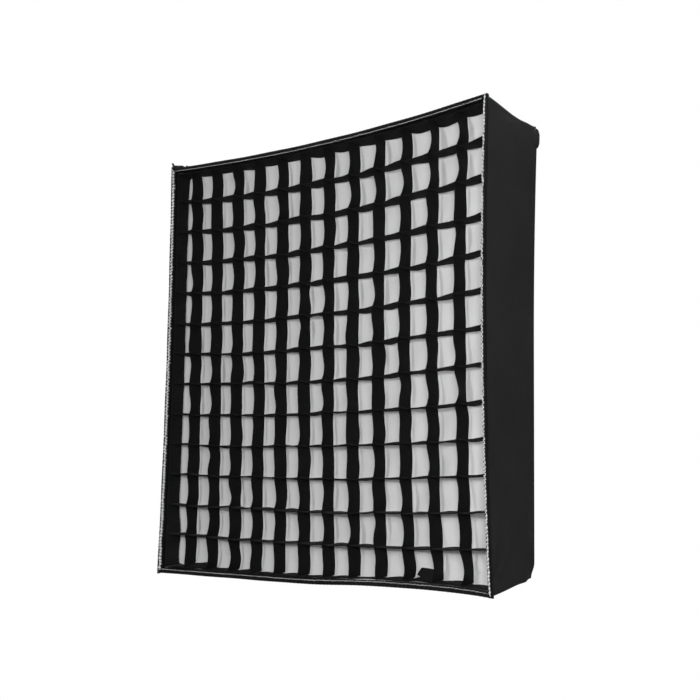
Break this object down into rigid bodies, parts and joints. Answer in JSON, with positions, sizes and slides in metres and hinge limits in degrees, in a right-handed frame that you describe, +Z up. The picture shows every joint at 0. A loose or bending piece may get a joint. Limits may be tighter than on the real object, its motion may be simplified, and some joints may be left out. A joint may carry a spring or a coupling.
{
  "type": "softbox",
  "caption": "Square fabric softbox with an egg-crate grid over a white diffuser, on a cross-shaped folding holder with a tilt head and a stand socket.",
  "frame": {"origin": "centre of the ceiling of the stand socket, where the tip of the stand's spigot stops", "axes": "+Z up along the stand's spigot; the light leaves along -Y through the grid; +X is to the right for someone facing the grid; the tilt axis is along X"},
  "size_m": [0.642, 0.251, 0.642],
  "materials": {
    "black_fabric": "smooth tightly woven black nylon with a slight sheen",
    "grid_fabric": "soft matt black webbing",
    "binding_tape": "ribbed black binding tape with white lock stitching",
    "elastic_hem": "ribbed black elastic",
    "diffusion_fabric": "matt white translucent diffusion cloth with soft wrinkles",
    "glass_fibre": "dark pultruded glass fibre rod",
    "black_alloy": "black anodised aluminium",
    "black_plastic": "finely grained black moulded plastic",
    "steel": "zinc plated steel"
  },
  "bodies": {
    "receiver": {"stand_receiver": "black_alloy"},
    "clamp_knob": {"stand_knob": "black_plastic"},
    "head": {"tilt_yoke": "black_alloy", "cross_hub": "black_plastic", "tilt_bolt": "steel"},
    "lock_lever": {"tilt_lever": "black_plastic"},
    "arm_top_right": {"holder_arm_top_right": "black_alloy", "arm_cap_top_right": "black_plastic"},
    "arm_bottom_right": {"holder_arm_bottom_right": "black_alloy", "arm_cap_bottom_right": "black_plastic"},
    "arm_bottom_left": {"holder_arm_bottom_left": "black_alloy", "arm_cap_bottom_left": "black_plastic"},
    "arm_top_left": {"holder_arm_top_left": "black_alloy", "arm_cap_top_left": "black_plastic"},
    "shell": {"wall_top": "black_fabric", "wall_right": "black_fabric", "wall_bottom": "black_fabric", "wall_left": "black_fabric", "rim_binding_top": "binding_tape", "rim_binding_right": "binding_tape", "rim_binding_bottom": "binding_tape", "rim_binding_left": "binding_tape", "rear_hem_top": "elastic_hem", "rear_hem_right": "elastic_hem", "rear_hem_bottom": "elastic_hem", "rear_hem_left": "elastic_hem", "corner_rod_top_right": "glass_fibre", "corner_rod_bottom_right": "glass_fibre", "corner_rod_bottom_left": "glass_fibre", "corner_rod_top_left": "glass_fibre"},
    "diffuser_panel": {"diffuser": "diffusion_fabric"},
    "grid": {"grid_upright_01": "grid_fabric", "grid_upright_02": "grid_fabric", "grid_upright_03": "grid_fabric", "grid_upright_04": "grid_fabric", "grid_upright_05": "grid_fabric", "grid_upright_06": "grid_fabric", "grid_upright_07": "grid_fabric", "grid_upright_08": "grid_fabric", "grid_upright_09": "grid_fabric", "grid_upright_10": "grid_fabric", "grid_upright_11": "grid_fabric", "grid_upright_12": "grid_fabric", "grid_cross_01": "grid_fabric", "grid_cross_02": "grid_fabric", "grid_cross_03": "grid_fabric", "grid_cross_04": "grid_fabric", "grid_cross_05": "grid_fabric", "grid_cross_06": "grid_fabric", "grid_cross_07": "grid_fabric", "grid_cross_08": "grid_fabric", "grid_cross_09": "grid_fabric", "grid_cross_10": "grid_fabric", "grid_cross_11": "grid_fabric", "grid_cross_12": "grid_fabric", "grid_band_top": "grid_fabric", "grid_band_right": "grid_fabric", "grid_band_bottom": "grid_fabric", "grid_band_left": "grid_fabric"}
  },
  "joints": [
    {"name": "knob_turn", "type": "hinge", "parent": "receiver", "child": "clamp_knob", "pos_m": [0, 0.02, -0.022], "axis": [0, 1, 0], "range_deg": [-540, 0]},
    {"name": "head_tilt", "type": "hinge", "parent": "receiver", "child": "head", "pos_m": [0, 0, 0.034], "axis": [1, 0, 0], "range_deg": [-60, 35]},
    {"name": "lever_turn", "type": "hinge", "parent": "head", "child": "lock_lever", "pos_m": [0.018, 0, 0.034], "axis": [1, 0, 0], "range_deg": [-60, 0]},
    {"name": "arm_fold_top_right", "type": "hinge", "parent": "head", "child": "arm_top_right", "pos_m": [0.02828, -0.07, 0.06228], "axis": [-0.7071, 0, 0.7071], "range_deg": [0, 80]},
    {"name": "arm_fold_bottom_right", "type": "hinge", "parent": "head", "child": "arm_bottom_right", "pos_m": [0.02828, -0.07, 0.00572], "axis": [0.7071, 0, 0.7071], "range_deg": [0, 80]},
    {"name": "arm_fold_bottom_left", "type": "hinge", "parent": "head", "child": "arm_bottom_left", "pos_m": [-0.02828, -0.07, 0.00572], "axis": [0.7071, 0, -0.7071], "range_deg": [0, 80]},
    {"name": "arm_fold_top_left", "type": "hinge", "parent": "head", "child": "arm_top_left", "pos_m": [-0.02828, -0.07, 0.06228], "axis": [-0.7071, 0, -0.7071], "range_deg": [0, 80]},
    {"name": "shell_off", "type": "slide", "parent": "head", "child": "shell", "axis": [0, -1, 0], "range_m": [0, 0.2]},
    {"name": "diffuser_off", "type": "slide", "parent": "shell", "child": "diffuser_panel", "axis": [0, -1, 0], "range_m": [0, 0.09]},
    {"name": "grid_off", "type": "slide", "parent": "diffuser_panel", "child": "grid", "axis": [0, -1, 0], "range_m": [0, 0.09]}
  ]
}
